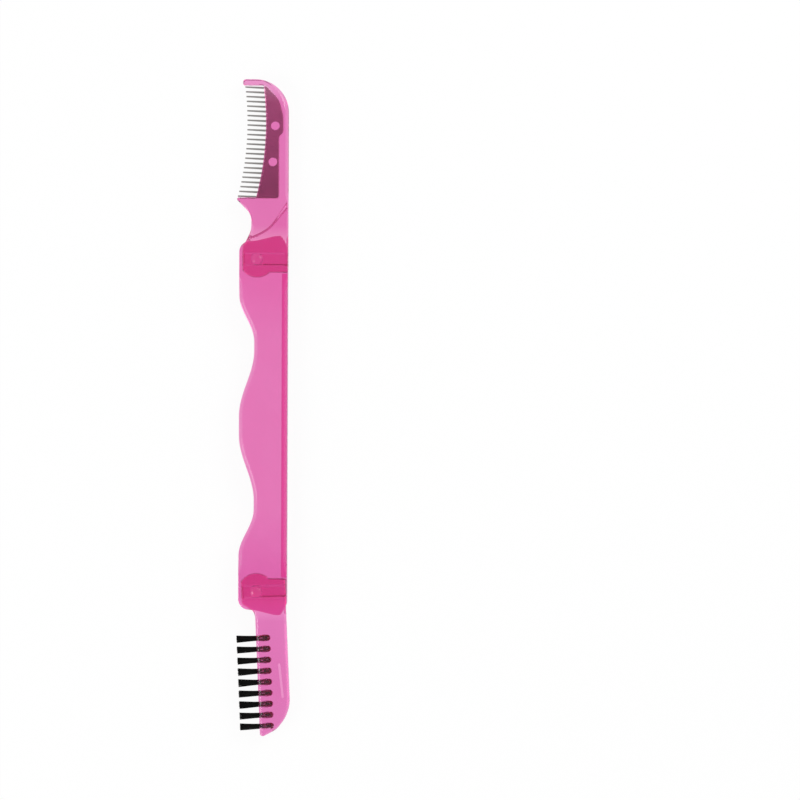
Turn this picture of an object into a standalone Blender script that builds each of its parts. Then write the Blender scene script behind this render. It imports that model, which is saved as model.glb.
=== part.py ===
"""Folding lash comb: a channel handle with a metal-toothed comb and a small brush.

The part lies flat, opened out. X runs across the handle towards its closed back, Y runs
along it towards the comb, and Z points up from the face that it rests on. The origin is
the middle of the handle's lower face. Both arms turn about axes parallel to Z and fold
into the open front of the handle, as the blades of a pocket knife do.
"""
import math
import random

import bmesh
import bpy
from mathutils import Vector

MM = 0.001
DEGREE = math.pi / 180

# Shared working values
facet_error = 0.012 * MM
cut_overrun = 1.0 * MM
round_sides = 32

# Teeth of the comb
tooth_count = 24
tooth_pitch = 1.137 * MM
tooth_length = 4.5 * MM
tooth_root_width = 0.50 * MM
tooth_tip_width = 0.28 * MM
tooth_slope = 2.5 * DEGREE
tooth_gap_depth = 0.45 * MM
last_tooth_reach = 15.2 * MM
lash_curve_radius = 70.0 * MM
lash_crest_front = -1.97 * MM
lash_crest_share = 0.67

# Tufts of the brush
tuft_count = 9
tuft_pitch = 2.64 * MM
first_tuft_reach = 11.27 * MM
tuft_rake = 1.3 * DEGREE
tuft_hole_radius = 0.75 * MM
tuft_hole_depth = 3.55 * MM
tuft_mouth_radius = 0.52 * MM
tuft_belly_radius = 0.62 * MM
tuft_tip_radius = 0.74 * MM
tuft_foot_gap = 0.2 * MM
tuft_slice_proud = 0.15 * MM
tuft_belly_share = 0.5
strands_across = 6
strand_inset_share = 0.16
strand_taper_share = 0.75
strand_ragged = 0.12 * MM

# Handle: two plates joined by a back wall
handle_width = 11.6 * MM
handle_thickness = 6.0 * MM
plate_thickness = 1.2 * MM
back_wall = 1.4 * MM
wall_end_round = 0.3 * MM
handle_edge_round = 0.8 * MM
end_low_reach = 3.95 * MM
end_high_reach = 5.6 * MM
end_low_round = 2.5 * MM
end_rise_round = 4.0 * MM
end_high_round = 2.5 * MM
end_cut_width = 1.5 * MM
end_cut_length = 2.6 * MM
end_cut_round = 0.9 * MM
end_rise_shares = (0.38, 0.72)
end_rise_low_share = 1.127
end_rise_high_share = 0.973
dip_depth = 3.6 * MM
dip_shares = (0.055, 0.453, 0.503, 0.785)
dip_steps = 11

# Pivots, stops and the click band at each pivot
pivot_from_back = 7.4 * MM
stud_radius = 1.3 * MM
stud_clearance = 0.2 * MM
stud_recess = 0.15 * MM
stud_chamfer = 0.2 * MM
stud_dish = 0.22 * MM
stud_rim = 0.25 * MM
hole_chamfer = 0.25 * MM
band_margin = 0.25 * MM
band_depth = 0.25 * MM
rib_side_gap = 0.25 * MM
rib_running_gap = 0.1 * MM
tang_clearance = 0.3 * MM
stop_reach = 3.15 * MM
stop_gap = 0.3 * MM
stop_start = 2.8 * MM
stop_corner_round = 0.6 * MM
stop_step_round = 0.3 * MM
nose_clearance = 1.65 * MM
tang_setback = 0.85 * MM
fold_tip_gap = 1.3 * MM
arm_edge_round = 0.35 * MM

# Comb arm
comb_back_proud = 0.05 * MM
comb_shoulder_round = 8.0 * MM
tip_beyond_teeth = 1.86 * MM
upper_guard_front = 3.55 * MM
guard_round = 0.4 * MM
guard_root_round = 0.3 * MM
guard_tooth_gap = 0.13 * MM
guard_fold_gap = 1.1 * MM
guard_slope = 45 * DEGREE
comb_neck_front = 1.45 * MM
comb_neck_round = 4.0 * MM
comb_heel_share = 0.506
comb_heel_round = 5.0 * MM
comb_cheek_reach = 2.9 * MM
comb_cheek_round = 1.5 * MM
head_relief = 0.2 * MM
relief_round = 9.0 * MM
relief_shares = ((1.15, 0.365), (0.76, 0.268), (0.46, 0.195), (0.22, 0.163), (-0.36, 0.113))

# Metal comb plate
blade_thickness = 0.5 * MM
blade_gap = 0.2 * MM
blade_back_inset = 1.3 * MM
blade_waist_inset = 1.05 * MM
blade_top_margin = 0.25 * MM
blade_bottom_margin = 0.5 * MM
blade_corner_round = 0.6 * MM
blade_crown_round = 5.0 * MM
blade_waist_round = 0.9 * MM
blade_crown_shares = ((0.79, 0.877), (1.0, 0.735))
blade_waist_shares = (0.592, 0.545)
stake_radius = 0.85 * MM
stake_clearance = 0.2 * MM
stake_shares = ((0.568, 0.644), (0.493, 0.313))

# Brush arm
brush_lean = 2.5 * DEGREE
brush_back_inset = 0.4 * MM
brush_front = 0.45 * MM
brush_tip_margin = 2.75 * MM
brush_tip_round = 0.45 * MM
brush_shoulder_round = 9.0 * MM
brush_chin_round = 5.0 * MM
brush_shoulder_share = 0.832
brush_chin_shares = (0.51, 0.946)
brush_heel_reach = 4.7 * MM
brush_heel_round = 3.0 * MM
brush_cheek_reach = 2.8 * MM
brush_cheek_round = 1.0 * MM
tuft_fold_gap = 0.8 * MM
mark_width = 0.5 * MM
mark_depth = 0.15 * MM
mark_shares = ((0.69, 0.505), (0.765, 0.726))

# Staple that pins each folded tuft in its hole
staple_thickness = 0.3 * MM
staple_gap = 0.1 * MM
staple_height = 1.3 * MM
staple_seat = 0.55 * MM

# Sizes that follow from the ones above
mid_height = handle_thickness / 2
slot_height = handle_thickness - 2 * plate_thickness
tang_thickness = slot_height - 2 * tang_clearance
head_thickness = tang_thickness - 2 * head_relief
rib_height = tang_clearance - rib_running_gap
blade_slot = blade_thickness + 2 * blade_gap
wall_reach = pivot_from_back - back_wall
nose_radius = wall_reach - nose_clearance
tang_front = nose_radius - tang_setback
band_width = 2 * (stud_radius + band_margin)
rib_width = band_width - 2 * rib_side_gap
first_tooth_reach = last_tooth_reach + (tooth_count - 1) * tooth_pitch
comb_reach = first_tooth_reach + tip_beyond_teeth
comb_back = pivot_from_back + comb_back_proud
brush_back = pivot_from_back - brush_back_inset
last_tuft_reach = first_tuft_reach + (tuft_count - 1) * tuft_pitch
brush_reach = last_tuft_reach + brush_tip_margin
pivot_spacing = comb_reach + brush_reach + fold_tip_gap
pivot_y = pivot_spacing / 2
pivot_x = handle_width / 2 - pivot_from_back
wall_half_length = pivot_y - stop_reach - stop_gap

plastic_pink = (0.78, 0.17, 0.46, 1)
steel_grey = (0.55, 0.55, 0.56, 1)
bristle_black = (0.012, 0.012, 0.012, 1)
staple_brass = (0.70, 0.56, 0.30, 1)


def clear_scene():
    """Start from an empty scene."""
    for item in list(bpy.data.objects):
        bpy.data.objects.remove(item)


def new_collection(name):
    """Make a collection in the scene."""
    group = bpy.data.collections.new(name)
    bpy.context.scene.collection.children.link(group)
    return group


def make_material(name, colour, roughness, metallic):
    """A plain Principled material."""
    material = bpy.data.materials.new(name)
    material.use_nodes = True
    shader = material.node_tree.nodes["Principled BSDF"]
    shader.inputs["Base Color"].default_value = colour
    shader.inputs["Roughness"].default_value = roughness
    shader.inputs["Metallic"].default_value = metallic
    return material


def arc_steps(radius, turn):
    """How many chords keep an arc within the facet error."""
    chord_turn = 2 * math.acos(1 - min(facet_error / radius, 1))
    return max(1, math.ceil(abs(turn) / chord_turn))


def arc(centre, radius, start, finish):
    """Points of an arc as corners with no rounding."""
    steps = arc_steps(radius, finish - start)
    angles = [start + (finish - start) * step / steps for step in range(steps + 1)]
    return [(centre[0] + radius * math.cos(a), centre[1] + radius * math.sin(a), 0)
            for a in angles]


def rounded(corners):
    """Outline through (x, y, radius) corners, each turned on an arc of its radius.

    Two arcs that would meet on the side between them shrink alike until they fit.
    """
    count = len(corners)
    places = [Vector(corner[:2]) for corner in corners]
    sides = [places[(i + 1) % count] - places[i] for i in range(count)]
    halves = [(-sides[i - 1]).angle(sides[i]) / 2 for i in range(count)]
    reaches = [corner[2] / math.tan(half) for corner, half in zip(corners, halves)]
    room = [min(1, sides[i].length / max(reaches[i] + reaches[(i + 1) % count], facet_error))
            for i in range(count)]
    outline = []
    for i, corner in enumerate(corners):
        radius = corner[2] * min(room[i - 1], room[i])
        if radius == 0:
            outline.append(places[i])
            continue
        before = -sides[i - 1].normalized()
        after = sides[i].normalized()
        centre = places[i] + (before + after).normalized() * (radius / math.sin(halves[i]))
        reach = radius / math.tan(halves[i])
        first = places[i] + before * reach - centre
        last = places[i] + after * reach - centre
        start = math.atan2(first.y, first.x)
        turn = math.atan2(first.cross(last), first.dot(last))
        steps = arc_steps(radius, turn)
        for step in range(steps + 1):
            angle = start + turn * step / steps
            outline.append(centre + Vector((math.cos(angle), math.sin(angle))) * radius)
    return outline


def add_object(name, mesh, group, parent=None, material=None):
    """Put a mesh in a collection, on its pivot if it has one."""
    item = bpy.data.objects.new(name, mesh)
    group.objects.link(item)
    item.parent = parent
    if material:
        mesh.materials.append(material)
    return item


def flat_solid(name, outline, low, high, edge_round, group, parent=None, material=None):
    """Solid between two heights from a flat outline, its top and bottom edges rounded."""
    curve = bpy.data.curves.new(name, "CURVE")
    curve.dimensions = "2D"
    curve.fill_mode = "BOTH"
    curve.extrude = (high - low) / 2 - edge_round
    curve.bevel_depth = edge_round
    curve.bevel_resolution = 1
    curve.offset = -edge_round
    spline = curve.splines.new("POLY")
    spline.points.add(len(outline) - 1)
    for point, place in zip(spline.points, outline):
        point.co = (place[0], place[1], 0, 1)
    spline.use_cyclic_u = True
    source = bpy.data.objects.new(name, curve)
    bpy.context.scene.collection.objects.link(source)
    bpy.context.view_layer.update()
    depsgraph = bpy.context.evaluated_depsgraph_get()
    mesh = bpy.data.meshes.new_from_object(source.evaluated_get(depsgraph))
    bpy.data.objects.remove(source)
    bpy.data.curves.remove(curve)
    work = bmesh.new()
    work.from_mesh(mesh)
    bmesh.ops.remove_doubles(work, verts=work.verts, dist=facet_error / 10)
    bmesh.ops.translate(work, verts=work.verts, vec=(0, 0, (low + high) / 2))
    work.to_mesh(mesh)
    work.free()
    mesh.materials.clear()
    return add_object(name, mesh, group, parent, material)


def box(name, low, high, group, parent=None, material=None):
    """Box between two corners."""
    mesh = bpy.data.meshes.new(name)
    work = bmesh.new()
    bmesh.ops.create_cube(work, size=1)
    bmesh.ops.scale(work, verts=work.verts, vec=[b - a for a, b in zip(low, high)])
    bmesh.ops.translate(work, verts=work.verts, vec=[(a + b) / 2 for a, b in zip(low, high)])
    work.to_mesh(mesh)
    work.free()
    return add_object(name, mesh, group, parent, material)


def turned(name, profile, group, parent=None):
    """Solid of revolution about Z from a profile that runs down its outer side."""
    mesh = bpy.data.meshes.new(name)
    edges = [(i, i + 1) for i in range(len(profile) - 1)]
    mesh.from_pydata([(radius, 0, height) for radius, height in profile], edges, [])
    item = add_object(name, mesh, group, parent)
    screw = item.modifiers.new("turn", "SCREW")
    screw.steps = round_sides
    screw.render_steps = round_sides
    screw.use_merge_vertices = True
    screw.merge_threshold = facet_error / 10
    return item


def combine(target, tool, operation):
    """Join a tool to a solid or cut it away, and hide the tool."""
    change = target.modifiers.new(tool.name, "BOOLEAN")
    change.operation = operation
    change.object = tool
    tool.hide_render = True
    tool.display_type = "WIRE"


def pivot(name, y, flip, lean):
    """Empty on a pivot axis. Its own +Y points out along the arm, +X to the arm's back."""
    empty = bpy.data.objects.new(name, None)
    bpy.context.scene.collection.objects.link(empty)
    empty.empty_display_size = stud_radius
    empty.location = (pivot_x, y, mid_height)
    empty.rotation_euler = (flip, 0, lean)
    return empty


def dip(y):
    """How far the front edge draws in at a place along the handle: a smooth wave."""
    crown, deep_start, deep_end, land = [share * pivot_y for share in dip_shares]
    distance = abs(y)
    if distance <= crown or distance >= land:
        return 0
    if distance < deep_start:
        progress = (distance - crown) / (deep_start - crown)
    elif distance <= deep_end:
        progress = 1
    else:
        progress = (land - distance) / (land - deep_end)
    return dip_depth * (1 - math.cos(math.pi * progress)) / 2


def handle_outline():
    """Outline of both plates: wavy front, straight back and two raked ends."""
    front = -handle_width / 2
    back = handle_width / 2
    crown, deep_start, deep_end, land = [share * pivot_y for share in dip_shares]
    inner = [crown + (deep_start - crown) * i / dip_steps for i in range(dip_steps + 1)]
    outer = [deep_end + (land - deep_end) * i / dip_steps for i in range(dip_steps + 1)]
    heights = sorted(inner + outer, reverse=True)
    heights += [-height for height in reversed(heights)]
    rise_start, rise_end = [front + share * handle_width for share in end_rise_shares]
    low = pivot_y + end_low_reach
    rise_low = pivot_y + end_low_reach * end_rise_low_share
    rise_high = pivot_y + end_high_reach * end_rise_high_share
    high = pivot_y + end_high_reach
    end = [(front, low, end_low_round), (rise_start, rise_low, end_rise_round),
           (rise_end, rise_high, end_rise_round), (back - end_cut_width, high, end_cut_round),
           (back, high - end_cut_length, end_high_round)]
    corners = [(front + dip(y), y, 0) for y in heights]
    corners += [(x, -y, radius) for x, y, radius in end]
    corners += list(reversed(end))
    return rounded(corners)


def slot_outline():
    """Outline of the space between the plates, which leaves the back wall standing."""
    front = -handle_width / 2 - cut_overrun
    back = handle_width / 2 + cut_overrun
    wall = handle_width / 2 - back_wall
    end = pivot_y + end_high_reach + cut_overrun
    upper = [(wall, wall_half_length, wall_end_round), (back, wall_half_length, 0),
             (back, end, 0), (front, end, 0)]
    lower = [(x, -y, radius) for x, y, radius in reversed(upper)]
    return rounded(upper + lower)


def make_handle(parts, tools, material):
    """Channel handle with a hole and a click band at each pivot."""
    handle = flat_solid("handle", handle_outline(), 0, handle_thickness, handle_edge_round,
                        parts, None, material)
    slot = flat_solid("handle_slot", slot_outline(), plate_thickness,
                      handle_thickness - plate_thickness, 0, tools)
    combine(handle, slot, "DIFFERENCE")
    bore = stud_radius + stud_clearance
    outside = mid_height + cut_overrun
    mouth = bore + hole_chamfer + cut_overrun
    neck = mid_height - hole_chamfer
    profile = [(0, outside), (mouth, outside), (bore, neck), (bore, -neck),
               (mouth, -outside), (0, -outside)]
    for name, y in (("upper", pivot_y), ("lower", -pivot_y)):
        band = box(name + "_band",
                   (-handle_width / 2 - cut_overrun, y - band_width / 2,
                    plate_thickness - band_depth),
                   (handle_width / 2 + cut_overrun, y + band_width / 2,
                    handle_thickness - plate_thickness + band_depth), tools)
        combine(handle, band, "DIFFERENCE")
        hole = turned(name + "_stud_hole", profile, tools)
        hole.location = (pivot_x, y, mid_height)
        combine(handle, hole, "DIFFERENCE")
    return handle


def stop_height(x, lean):
    """Where an arm's stop face lies, so that it is square to the back wall's end."""
    return (x * math.sin(lean) - stop_reach) / math.cos(lean)


def tang_corners(back, lean):
    """Corners round the pivot end of an arm: front edge, round nose, stop face."""
    nose_start = math.pi + math.acos(tang_front / nose_radius)
    nose_end = 2 * math.pi - math.acos(stop_start / nose_radius)
    nose = arc((0, 0), nose_radius, nose_start, nose_end)
    stop = [(stop_start, stop_height(stop_start, lean), stop_step_round),
            (back, stop_height(back, lean), stop_corner_round)]
    return nose + stop


def root_front(y):
    """Where the comb's body ends at the teeth: an arc that follows a line of lashes."""
    crest = last_tooth_reach + lash_crest_share * (first_tooth_reach - last_tooth_reach)
    drop = lash_curve_radius - math.sqrt(lash_curve_radius ** 2 - (y - crest) ** 2)
    return -lash_crest_front - drop


def root_line(high, low, inset):
    """Corners down the line of the roots, a tooth pitch apart."""
    steps = tooth_count // 2
    heights = [high + (low - high) * i / steps for i in range(1, steps)]
    return [(root_front(y) + inset, y, 0) for y in heights]


def guard_faces():
    """Heights of the two faces that look along the teeth from above and below."""
    half_tooth = tooth_root_width / 2
    upper = first_tooth_reach + half_tooth + guard_tooth_gap
    lower = last_tooth_reach - half_tooth - guard_tooth_gap
    return upper, lower


def comb_outline():
    """Outline of the comb arm from its nose round the back, the guards and the neck."""
    upper, lower = guard_faces()
    lower_front = wall_reach - guard_fold_gap
    tip_shift = guard_round / math.tan(guard_slope / 2) - guard_round
    tip = -(lower_front + tip_shift)
    neck_reach = lower - (-comb_neck_front - tip) * math.tan(guard_slope)
    heel = comb_cheek_reach + comb_heel_share * (neck_reach - comb_cheek_reach)
    corners = tang_corners(comb_back, 0)
    corners += [(comb_back, comb_reach, comb_shoulder_round),
                (-upper_guard_front, comb_reach, guard_round),
                (-upper_guard_front, upper, guard_round),
                (root_front(upper), upper, guard_root_round)]
    corners += root_line(upper, lower, 0)
    corners += [(root_front(lower), lower, guard_root_round),
                (tip, lower, guard_round),
                (-comb_neck_front, neck_reach, comb_neck_round),
                (-comb_neck_front, heel, comb_heel_round),
                (-tang_front, comb_cheek_reach, comb_cheek_round)]
    return rounded(corners)


def add_pivot_features(arm, back, tools, axis):
    """Studs that snap into the plates and the rib that clicks into their bands."""
    name = arm.name
    rib = box(name + "_rib",
              (-tang_front + arm_edge_round, -rib_width / 2, -tang_thickness / 2 - rib_height),
              (back - arm_edge_round, rib_width / 2, tang_thickness / 2 + rib_height),
              tools, axis)
    combine(arm, rib, "UNION")
    top = mid_height - stud_recess
    rim = stud_radius - stud_chamfer
    profile = [(0, top - stud_dish), (rim - stud_rim, top), (rim, top),
               (stud_radius, top - stud_chamfer)]
    profile += [(radius, -height) for radius, height in reversed(profile)]
    stud = turned(name + "_stud", profile, tools, axis)
    combine(arm, stud, "UNION")


def blade_back_corners(gap):
    """Corners of the comb plate's hidden sides, from its lower front round its back."""
    bottom = last_tooth_reach - blade_bottom_margin
    top = first_tooth_reach + blade_top_margin
    length = top - bottom
    back = comb_back - blade_back_inset
    waist = back - blade_waist_inset
    start = root_front(top)
    corners = [(waist + gap, bottom - gap, blade_corner_round + gap),
               (waist + gap, bottom + blade_waist_shares[1] * length, blade_waist_round),
               (back + gap, bottom + blade_waist_shares[0] * length, blade_waist_round)]
    for across_share, along_share in reversed(blade_crown_shares):
        corners.append((start + across_share * (back - start) + gap,
                        bottom + along_share * length, blade_crown_round))
    corners.append((start + blade_corner_round + gap, top + gap, blade_corner_round))
    return corners


def stake_places():
    """Centres of the two moulded stakes that lock the comb plate."""
    bottom = last_tooth_reach
    length = first_tooth_reach - bottom
    return [(across_share * comb_back, bottom + along_share * length)
            for across_share, along_share in stake_shares]


def make_comb_arm(parts, tools, axis, material):
    """Moulded comb arm: thick tang, thinner head, slot and stakes for the metal plate."""
    half = tang_thickness / 2
    arm = flat_solid("comb_arm", comb_outline(), -half, half, arm_edge_round,
                     parts, axis, material)
    side = comb_back + cut_overrun
    far = comb_reach + cut_overrun
    edge = [(across_share * comb_back, along_share * comb_reach, relief_round)
            for across_share, along_share in relief_shares]
    region = rounded([(side, far, 0), (-side, far, 0), (-side, edge[-1][1], 0)]
                     + list(reversed(edge)) + [(side, edge[0][1], 0)])
    step = head_thickness / 2
    upper = flat_solid("upper_relief", region, step, half + cut_overrun, 0, tools, axis)
    lower = flat_solid("lower_relief", region, -half - cut_overrun, -step, 0, tools, axis)
    combine(arm, upper, "DIFFERENCE")
    combine(arm, lower, "DIFFERENCE")
    add_pivot_features(arm, comb_back, tools, axis)
    back_corners = blade_back_corners(blade_gap)
    front = root_front(last_tooth_reach) - cut_overrun
    slot_corners = [(front, back_corners[0][1], 0)] + back_corners
    slot_corners += [(front, back_corners[-1][1], 0)]
    slot = flat_solid("blade_slot", rounded(slot_corners), -blade_slot / 2, blade_slot / 2, 0,
                      tools, axis)
    combine(arm, slot, "DIFFERENCE")
    stake_half = (blade_slot + head_thickness) / 4
    for number, (x, y) in enumerate(stake_places(), 1):
        profile = [(0, stake_half), (stake_radius, stake_half), (stake_radius, -stake_half),
                   (0, -stake_half)]
        stake = turned("stake_%d" % number, profile, tools, axis)
        stake.location = (x, y, 0)
        combine(arm, stake, "UNION")
    return arm


def tooth_corners(index):
    """Corners of one tooth, from the upper side of its root round its tip."""
    y = first_tooth_reach - index * tooth_pitch
    along = Vector((-math.cos(tooth_slope), math.sin(tooth_slope)))
    across = Vector((along.y, -along.x))
    root = Vector((root_front(y), y)) - along * (tooth_gap_depth - tooth_root_width / 2)
    root.y -= tooth_length * math.sin(tooth_slope)
    tip = Vector((root_front(y), root.y)) + along * tooth_length
    corners = []
    for place, half in ((root, tooth_root_width / 2), (tip, tooth_tip_width / 2)):
        for side in (1, -1):
            corners.append(place + across * half * side)
    upper_root, lower_root, upper_tip, lower_tip = corners
    shoulder = -along * (tooth_tip_width / 2)
    return [upper_root, upper_tip + shoulder, tip, lower_tip + shoulder, lower_root]


def make_blade(parts, tools, axis, material):
    """Thin metal plate with the teeth in one piece and two holes for the stakes."""
    corners = [(point.x, point.y, radius) for point, radius in
               ((Vector(c[:2]), c[2]) for c in blade_back_corners(0))]
    front = []
    for index in range(tooth_count):
        front += [(p.x, p.y, 0) for p in tooth_corners(index)]
        if index < tooth_count - 1:
            y = first_tooth_reach - (index + 1 / 2) * tooth_pitch
            y -= tooth_length * math.sin(tooth_slope)
            front.append((root_front(y) + tooth_gap_depth, y, 0))
    bottom = last_tooth_reach - blade_bottom_margin
    front.append((root_front(bottom) + tooth_gap_depth, bottom, 0))
    blade = flat_solid("comb_blade", rounded(corners + front), -blade_thickness / 2,
                       blade_thickness / 2, 0, parts, axis, material)
    bore = stake_radius + stake_clearance
    reach = blade_thickness / 2 + cut_overrun
    for number, (x, y) in enumerate(stake_places(), 1):
        hole = turned("blade_hole_%d" % number,
                      [(0, reach), (bore, reach), (bore, -reach), (0, -reach)], tools, axis)
        hole.location = (x, y, 0)
        combine(blade, hole, "DIFFERENCE")
    return blade


def brush_outline():
    """Outline of the brush arm, which comes to a soft point beyond the last tuft."""
    corners = tang_corners(brush_back, brush_lean)
    corners += [(brush_back, brush_shoulder_share * brush_reach, brush_shoulder_round),
                (brush_chin_shares[0] * brush_back, brush_chin_shares[1] * brush_reach,
                 brush_chin_round),
                (-brush_front, brush_reach, brush_tip_round),
                (-brush_front, brush_heel_reach, brush_heel_round),
                (-tang_front, brush_cheek_reach, brush_cheek_round)]
    return rounded(corners)


def tuft_heights():
    """Places of the tufts along the brush arm."""
    return [first_tuft_reach + index * tuft_pitch for index in range(tuft_count)]


def seat_in_row(item, y):
    """Stand a tuft's piece or cutter at its mouth, its own +Z pointing out of the hole."""
    item.location = (-brush_front, y, 0)
    item.rotation_euler = (0, -math.pi / 2, -tuft_rake)


def make_brush_arm(parts, tools, axis, material):
    """Moulded brush arm with a row of blind holes in its front edge."""
    half = tang_thickness / 2
    arm = flat_solid("brush_arm", brush_outline(), -half, half, arm_edge_round,
                     parts, axis, material)
    add_pivot_features(arm, brush_back, tools, axis)
    profile = [(0, cut_overrun), (tuft_hole_radius, cut_overrun),
               (tuft_hole_radius, -tuft_hole_depth), (0, -tuft_hole_depth)]
    for number, y in enumerate(tuft_heights(), 1):
        hole = turned("tuft_hole_%d" % number, profile, tools, axis)
        hole.modifiers["turn"].steps = round_sides // 2
        hole.modifiers["turn"].render_steps = round_sides // 2
        seat_in_row(hole, y)
        combine(arm, hole, "DIFFERENCE")
    ends = [(x_share * brush_back, y_share * brush_reach) for x_share, y_share in mark_shares]
    run = (Vector(ends[1]) - Vector(ends[0])).normalized()
    side = Vector((-run.y, run.x)) * (mark_width / 2)
    mark = []
    for place, turn in ((ends[0], 1), (ends[1], -1)):
        for sign in (turn, -turn):
            corner = Vector(place) + side * sign - run * turn * mark_width / 2
            mark.append((corner.x, corner.y, mark_width / 3))
    for name, low, high in (("front_mark", half - mark_depth, half + cut_overrun),
                            ("rear_mark", -half - cut_overrun, -half + mark_depth)):
        combine(arm, flat_solid(name, rounded(mark), low, high, 0, tools, axis), "DIFFERENCE")
    return arm


def grid_to_disc(point):
    """Carry a point of the square from -1 to 1 to the unit disc."""
    return Vector((point.x * math.sqrt(1 - point.y ** 2 / 2),
                   point.y * math.sqrt(1 - point.x ** 2 / 2), 0))


def make_tuft(number, y, parts, tools, axis, material):
    """One tuft: strands fanned out from a slice of packed bristle that fills the hole.

    Its own +Z points out of the hole. A cell of the slice's top carries each strand, and
    every tip lies on the ray through its own root, so no two strands cross.
    """
    chance = random.Random(number)
    work = bmesh.new()
    bmesh.ops.create_grid(work, x_segments=strands_across, y_segments=strands_across, size=1)
    foot = tuft_foot_gap - tuft_hole_depth
    for vertex in work.verts:
        vertex.co = grid_to_disc(vertex.co) * tuft_mouth_radius
        vertex.co.z = foot
    bottom = work.faces[:]
    top = bottom
    belly = foot * (1 - tuft_belly_share)
    for height, radius in ((belly, tuft_belly_radius), (tuft_slice_proud, tuft_mouth_radius)):
        made = bmesh.ops.extrude_face_region(work, geom=top)["geom"]
        if top is not bottom:
            bmesh.ops.delete(work, geom=top, context="FACES")
        moved = [item for item in made if isinstance(item, bmesh.types.BMVert)]
        top = [item for item in made if isinstance(item, bmesh.types.BMFace)]
        here = max(v.co.xy.length for v in moved)
        for vertex in moved:
            vertex.co.xy *= radius / here
            vertex.co.z = height
    cell = 2 * tuft_mouth_radius / strands_across
    bmesh.ops.inset_individual(work, faces=top, thickness=cell * strand_inset_share,
                               use_even_offset=True)
    strands = bmesh.ops.extrude_discrete_faces(work, faces=top)["faces"]
    tip_height = wall_reach - tuft_fold_gap - brush_front
    flare = tuft_tip_radius / tuft_mouth_radius
    for face in strands:
        centre = face.calc_center_median()
        height = tip_height - chance.random() * strand_ragged
        for vertex in face.verts:
            offset = (vertex.co - centre) * strand_taper_share
            vertex.co = Vector((centre.x * flare, centre.y * flare, height)) + offset
    bmesh.ops.dissolve_faces(work, faces=[f for f in bottom if f.is_valid])
    bmesh.ops.recalc_face_normals(work, faces=work.faces)
    name = "bristle_tuft_%d" % number
    mesh = bpy.data.meshes.new(name)
    work.to_mesh(mesh)
    work.free()
    tuft = add_object(name, mesh, parts, axis, material)
    seat_in_row(tuft, y)
    low = foot + staple_seat - staple_gap
    side = staple_thickness / 2 + staple_gap
    window = box("staple_window_%d" % number,
                 (-tuft_hole_radius, -side, low),
                 (tuft_hole_radius, side, low + staple_height + 2 * staple_gap), tools, tuft)
    combine(tuft, window, "DIFFERENCE")
    return tuft


def make_staple(number, y, parts, axis, material):
    """Small metal plate that the tuft is folded round."""
    half_width = tuft_hole_radius - staple_gap
    low = tuft_foot_gap - tuft_hole_depth + staple_seat
    staple = box("tuft_staple_%d" % number,
                 (-half_width, -staple_thickness / 2, low),
                 (half_width, staple_thickness / 2, low + staple_height),
                 parts, axis, material)
    seat_in_row(staple, y)
    return staple


def main():
    """Build the whole part."""
    clear_scene()
    parts = new_collection("folding_lash_comb")
    tools = new_collection("cutters")
    plastic = make_material("pink_plastic", plastic_pink, 0.15, 0)
    steel = make_material("comb_steel", steel_grey, 0.3, 1)
    bristle = make_material("black_bristle", bristle_black, 0.5, 0)
    brass = make_material("staple_metal", staple_brass, 0.4, 1)
    comb_axis = pivot("comb_axis", pivot_y, 0, 0)
    brush_axis = pivot("brush_axis", -pivot_y, math.pi, brush_lean)
    make_handle(parts, tools, plastic)
    make_comb_arm(parts, tools, comb_axis, plastic)
    make_blade(parts, tools, comb_axis, steel)
    make_brush_arm(parts, tools, brush_axis, plastic)
    for number, y in enumerate(tuft_heights(), 1):
        make_tuft(number, y, parts, tools, brush_axis, bristle)
        make_staple(number, y, parts, brush_axis, brass)


main()
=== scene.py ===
# %% [markdown]
# # A folding lash comb in clear pink plastic
#
# The comb lies open on a white table: a channel handle, an arm with a metal comb at one
# end and an arm with nine bristle tufts at the other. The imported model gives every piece
# its place and its joint, and this lesson makes the fine surfaces that go over it.
#
# Clear plastic is hard to fake: its colour comes from how much of it the light goes
# through. So the pieces are closed bodies of the real thickness with real gaps between
# them, and the darker places make themselves.

# %% Load the frame
import math

import bpy
import numpy as np
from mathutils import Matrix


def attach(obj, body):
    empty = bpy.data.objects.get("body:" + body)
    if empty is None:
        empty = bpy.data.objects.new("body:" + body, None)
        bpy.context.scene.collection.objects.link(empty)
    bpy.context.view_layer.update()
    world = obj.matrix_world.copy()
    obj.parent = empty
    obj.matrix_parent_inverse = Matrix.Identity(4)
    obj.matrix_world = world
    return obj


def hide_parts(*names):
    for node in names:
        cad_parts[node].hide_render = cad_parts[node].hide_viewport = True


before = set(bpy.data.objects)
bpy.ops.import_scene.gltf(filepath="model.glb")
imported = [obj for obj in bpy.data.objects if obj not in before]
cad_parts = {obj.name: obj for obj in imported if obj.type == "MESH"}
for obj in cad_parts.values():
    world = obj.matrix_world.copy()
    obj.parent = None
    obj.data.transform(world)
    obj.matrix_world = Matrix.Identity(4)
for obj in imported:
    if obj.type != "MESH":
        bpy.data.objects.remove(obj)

MM, scene = 0.001, bpy.context.scene


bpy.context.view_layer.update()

# %% [markdown]
# ## The camera
#
# The photograph looks straight down, and nothing in it converges, so the lens was long.
# A real long lens keeps a trace of perspective that an orthographic camera would lose.
# One picture pixel is 0.24 mm on the comb. The whole tool leans a fifth of a degree.

# %% Camera
def add_object(name, data):
    """New object in the scene, at the origin."""
    thing = bpy.data.objects.new(name, data)
    scene.collection.objects.link(thing)
    return thing


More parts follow.
